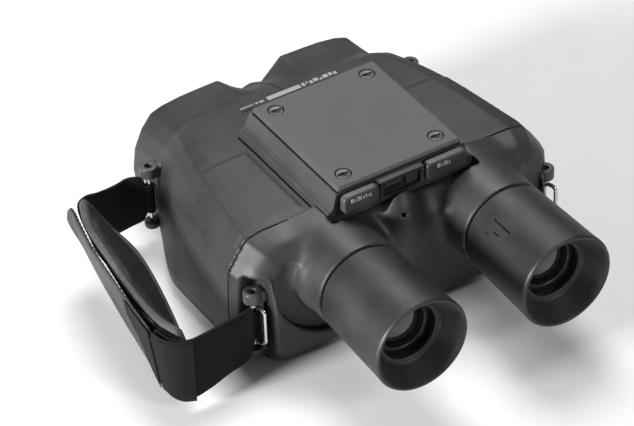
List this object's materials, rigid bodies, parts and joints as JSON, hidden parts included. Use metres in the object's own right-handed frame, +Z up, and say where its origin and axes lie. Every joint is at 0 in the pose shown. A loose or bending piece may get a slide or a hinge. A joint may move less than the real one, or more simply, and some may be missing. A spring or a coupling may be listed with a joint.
{
  "type": "binoculars",
  "caption": "Laser range-finding binoculars with a raised top block, rubber armour, long eyecup sleeves and a padded hand strap on the left.",
  "frame": {"origin": "mouth of the tripod thread, in the middle of the flat underside", "axes": "+X to the user's right, +Y towards the target (objectives), +Z up through the top cover"},
  "size_m": [0.2096, 0.2035, 0.077],
  "materials": {
    "armour_rubber": "satin",
    "cover_shell": "satin",
    "block_shell": "satin",
    "plate_metal": "matte",
    "chassis_metal": "anodised",
    "seal_rubber": "matte",
    "screw_steel": "black oxide",
    "strip_marking": "matte",
    "button_rubber": "satin",
    "inner_plastic": "matte",
    "black_metal": "matte",
    "coated_glass": "polished",
    "board_green": "satin",
    "cell_wrap": "gloss",
    "bail_steel": "polished",
    "cap_metal": "anodised",
    "bush_steel": "machined",
    "barrel_shell": "satin",
    "eyecup_rubber": "satin",
    "gear_brass": "machined",
    "lug_metal": "satin",
    "strap_webbing": "woven",
    "pad_leather": "grained",
    "flap_leather": "grained"
  },
  "bodies": {
    "body": {"armour_left": "armour_rubber", "armour_right": "armour_rubber", "battery_cells": "cell_wrap", "battery_spring": "bail_steel", "battery_tube": "inner_plastic", "bulkhead": "chassis_metal", "button_switches": "inner_plastic", "compass_module": "board_green", "cover_gasket": "seal_rubber", "cover_screws": "screw_steel", "focus_cells": "black_metal", "focus_lenses": "coated_glass", "hood_left": "armour_rubber", "hood_right": "armour_rubber", "laser_module": "inner_plastic", "lug_front_left": "lug_metal", "lug_front_right": "lug_metal", "lug_rear_left": "lug_metal", "lug_rear_right": "lug_metal", "main_board": "board_green", "main_housing": "chassis_metal", "marking_strip": "strip_marking", "objective_lens_left": "coated_glass", "objective_lens_right": "coated_glass", "objective_ring_left": "black_metal", "objective_ring_right": "black_metal", "objective_tube_left": "black_metal", "objective_tube_right": "black_metal", "rear_cover": "cover_shell", "rear_seal": "seal_rubber", "receiver_module": "inner_plastic", "recess_panel": "inner_plastic", "strap_pad": "pad_leather", "top_block": "block_shell", "top_cover": "plate_metal", "tripod_bush": "bush_steel", "web_front": "strap_webbing", "web_rear": "strap_webbing"},
    "turret_left": {"eyepiece_base_left": "barrel_shell", "prism_carrier_left": "black_metal", "prism_left": "coated_glass", "sync_gear_left": "gear_brass"},
    "turret_right": {"eyepiece_base_right": "barrel_shell", "prism_carrier_right": "black_metal", "prism_right": "coated_glass", "sync_gear_right": "gear_brass"},
    "eyecup_body_left": {"eyecup_left": "eyecup_rubber"},
    "eyecup_body_right": {"eyecup_right": "eyecup_rubber"},
    "lens_group_left": {"lens_cell_left": "black_metal", "eye_lenses_left": "coated_glass"},
    "lens_group_right": {"lens_cell_right": "black_metal", "eye_lenses_right": "coated_glass"},
    "left_button": {"button_left": "button_rubber"},
    "right_button": {"button_right": "button_rubber"},
    "battery_lid": {"battery_cap": "cap_metal"},
    "rear_left_bail": {"bail_rear_left": "bail_steel"},
    "front_left_bail": {"bail_front_left": "bail_steel"},
    "rear_right_bail": {"bail_rear_right": "bail_steel"},
    "front_right_bail": {"bail_front_right": "bail_steel"},
    "leather_flap": {"strap_flap": "flap_leather"}
  },
  "joints": [
    {"name": "left_turret_turn", "type": "hinge", "parent": "body", "child": "turret_left", "pos_m": [-0.036, -0.04, 0.026], "axis": [0, 1, 0], "range_deg": [0, 28]},
    {"name": "right_turret_turn", "type": "hinge", "parent": "body", "child": "turret_right", "pos_m": [0.036, -0.04, 0.026], "axis": [0, 1, 0], "range_deg": [-28, 0]},
    {"name": "left_dioptre_turn", "type": "hinge", "parent": "turret_left", "child": "eyecup_body_left", "pos_m": [-0.0372, -0.09, 0.0429], "axis": [0, 1, 0], "range_deg": [-90, 90]},
    {"name": "right_dioptre_turn", "type": "hinge", "parent": "turret_right", "child": "eyecup_body_right", "pos_m": [0.0372, -0.09, 0.0429], "axis": [0, 1, 0], "range_deg": [-90, 90]},
    {"name": "left_lens_travel", "type": "slide", "parent": "turret_left", "child": "lens_group_left", "axis": [0, 1, 0], "range_m": [-0.0025, 0.0025]},
    {"name": "right_lens_travel", "type": "slide", "parent": "turret_right", "child": "lens_group_right", "axis": [0, 1, 0], "range_m": [-0.0025, 0.0025]},
    {"name": "left_button_press", "type": "slide", "parent": "body", "child": "left_button", "axis": [0, 1, 0], "range_m": [0, 0.0012], "stiffness_N_per_m": 1500, "springref_m": -0.0004},
    {"name": "right_button_press", "type": "slide", "parent": "body", "child": "right_button", "axis": [0, 1, 0], "range_m": [0, 0.0012], "stiffness_N_per_m": 1500, "springref_m": -0.0004},
    {"name": "battery_cap_turn", "type": "hinge", "parent": "body", "child": "battery_lid", "pos_m": [0, 0.086, 0.02], "axis": [0, 1, 0], "range_deg": [0, 90]},
    {"name": "rear_left_bail_swing", "type": "hinge", "parent": "body", "child": "rear_left_bail", "pos_m": [-0.077, -0.0404, 0.023], "axis": [0, 0, 1], "range_deg": [-28, 0]},
    {"name": "front_left_bail_swing", "type": "hinge", "parent": "body", "child": "front_left_bail", "pos_m": [-0.0706, 0.06, 0.025], "axis": [0, 0, 1], "range_deg": [0, 28]},
    {"name": "rear_right_bail_swing", "type": "hinge", "parent": "body", "child": "rear_right_bail", "pos_m": [0.077, -0.0404, 0.023], "axis": [0, 0, 1], "range_deg": [-45, 100]},
    {"name": "front_right_bail_swing", "type": "hinge", "parent": "body", "child": "front_right_bail", "pos_m": [0.0706, 0.06, 0.025], "axis": [0, 0, 1], "range_deg": [-35, 120]},
    {"name": "leather_flap_lift", "type": "hinge", "parent": "body", "child": "leather_flap", "pos_m": [-0.1248, -0.0404, 0.023], "axis": [0, 0, 1], "range_deg": [0, 60]}
  ],
  "couplings": [
    {"joint": "right_turret_turn", "follows": "left_turret_turn", "ratio": -1},
    {"joint": "left_lens_travel", "follows": "left_dioptre_turn", "m_per_rad": 0.0015915},
    {"joint": "right_lens_travel", "follows": "right_dioptre_turn", "m_per_rad": 0.0015915}
  ]
}
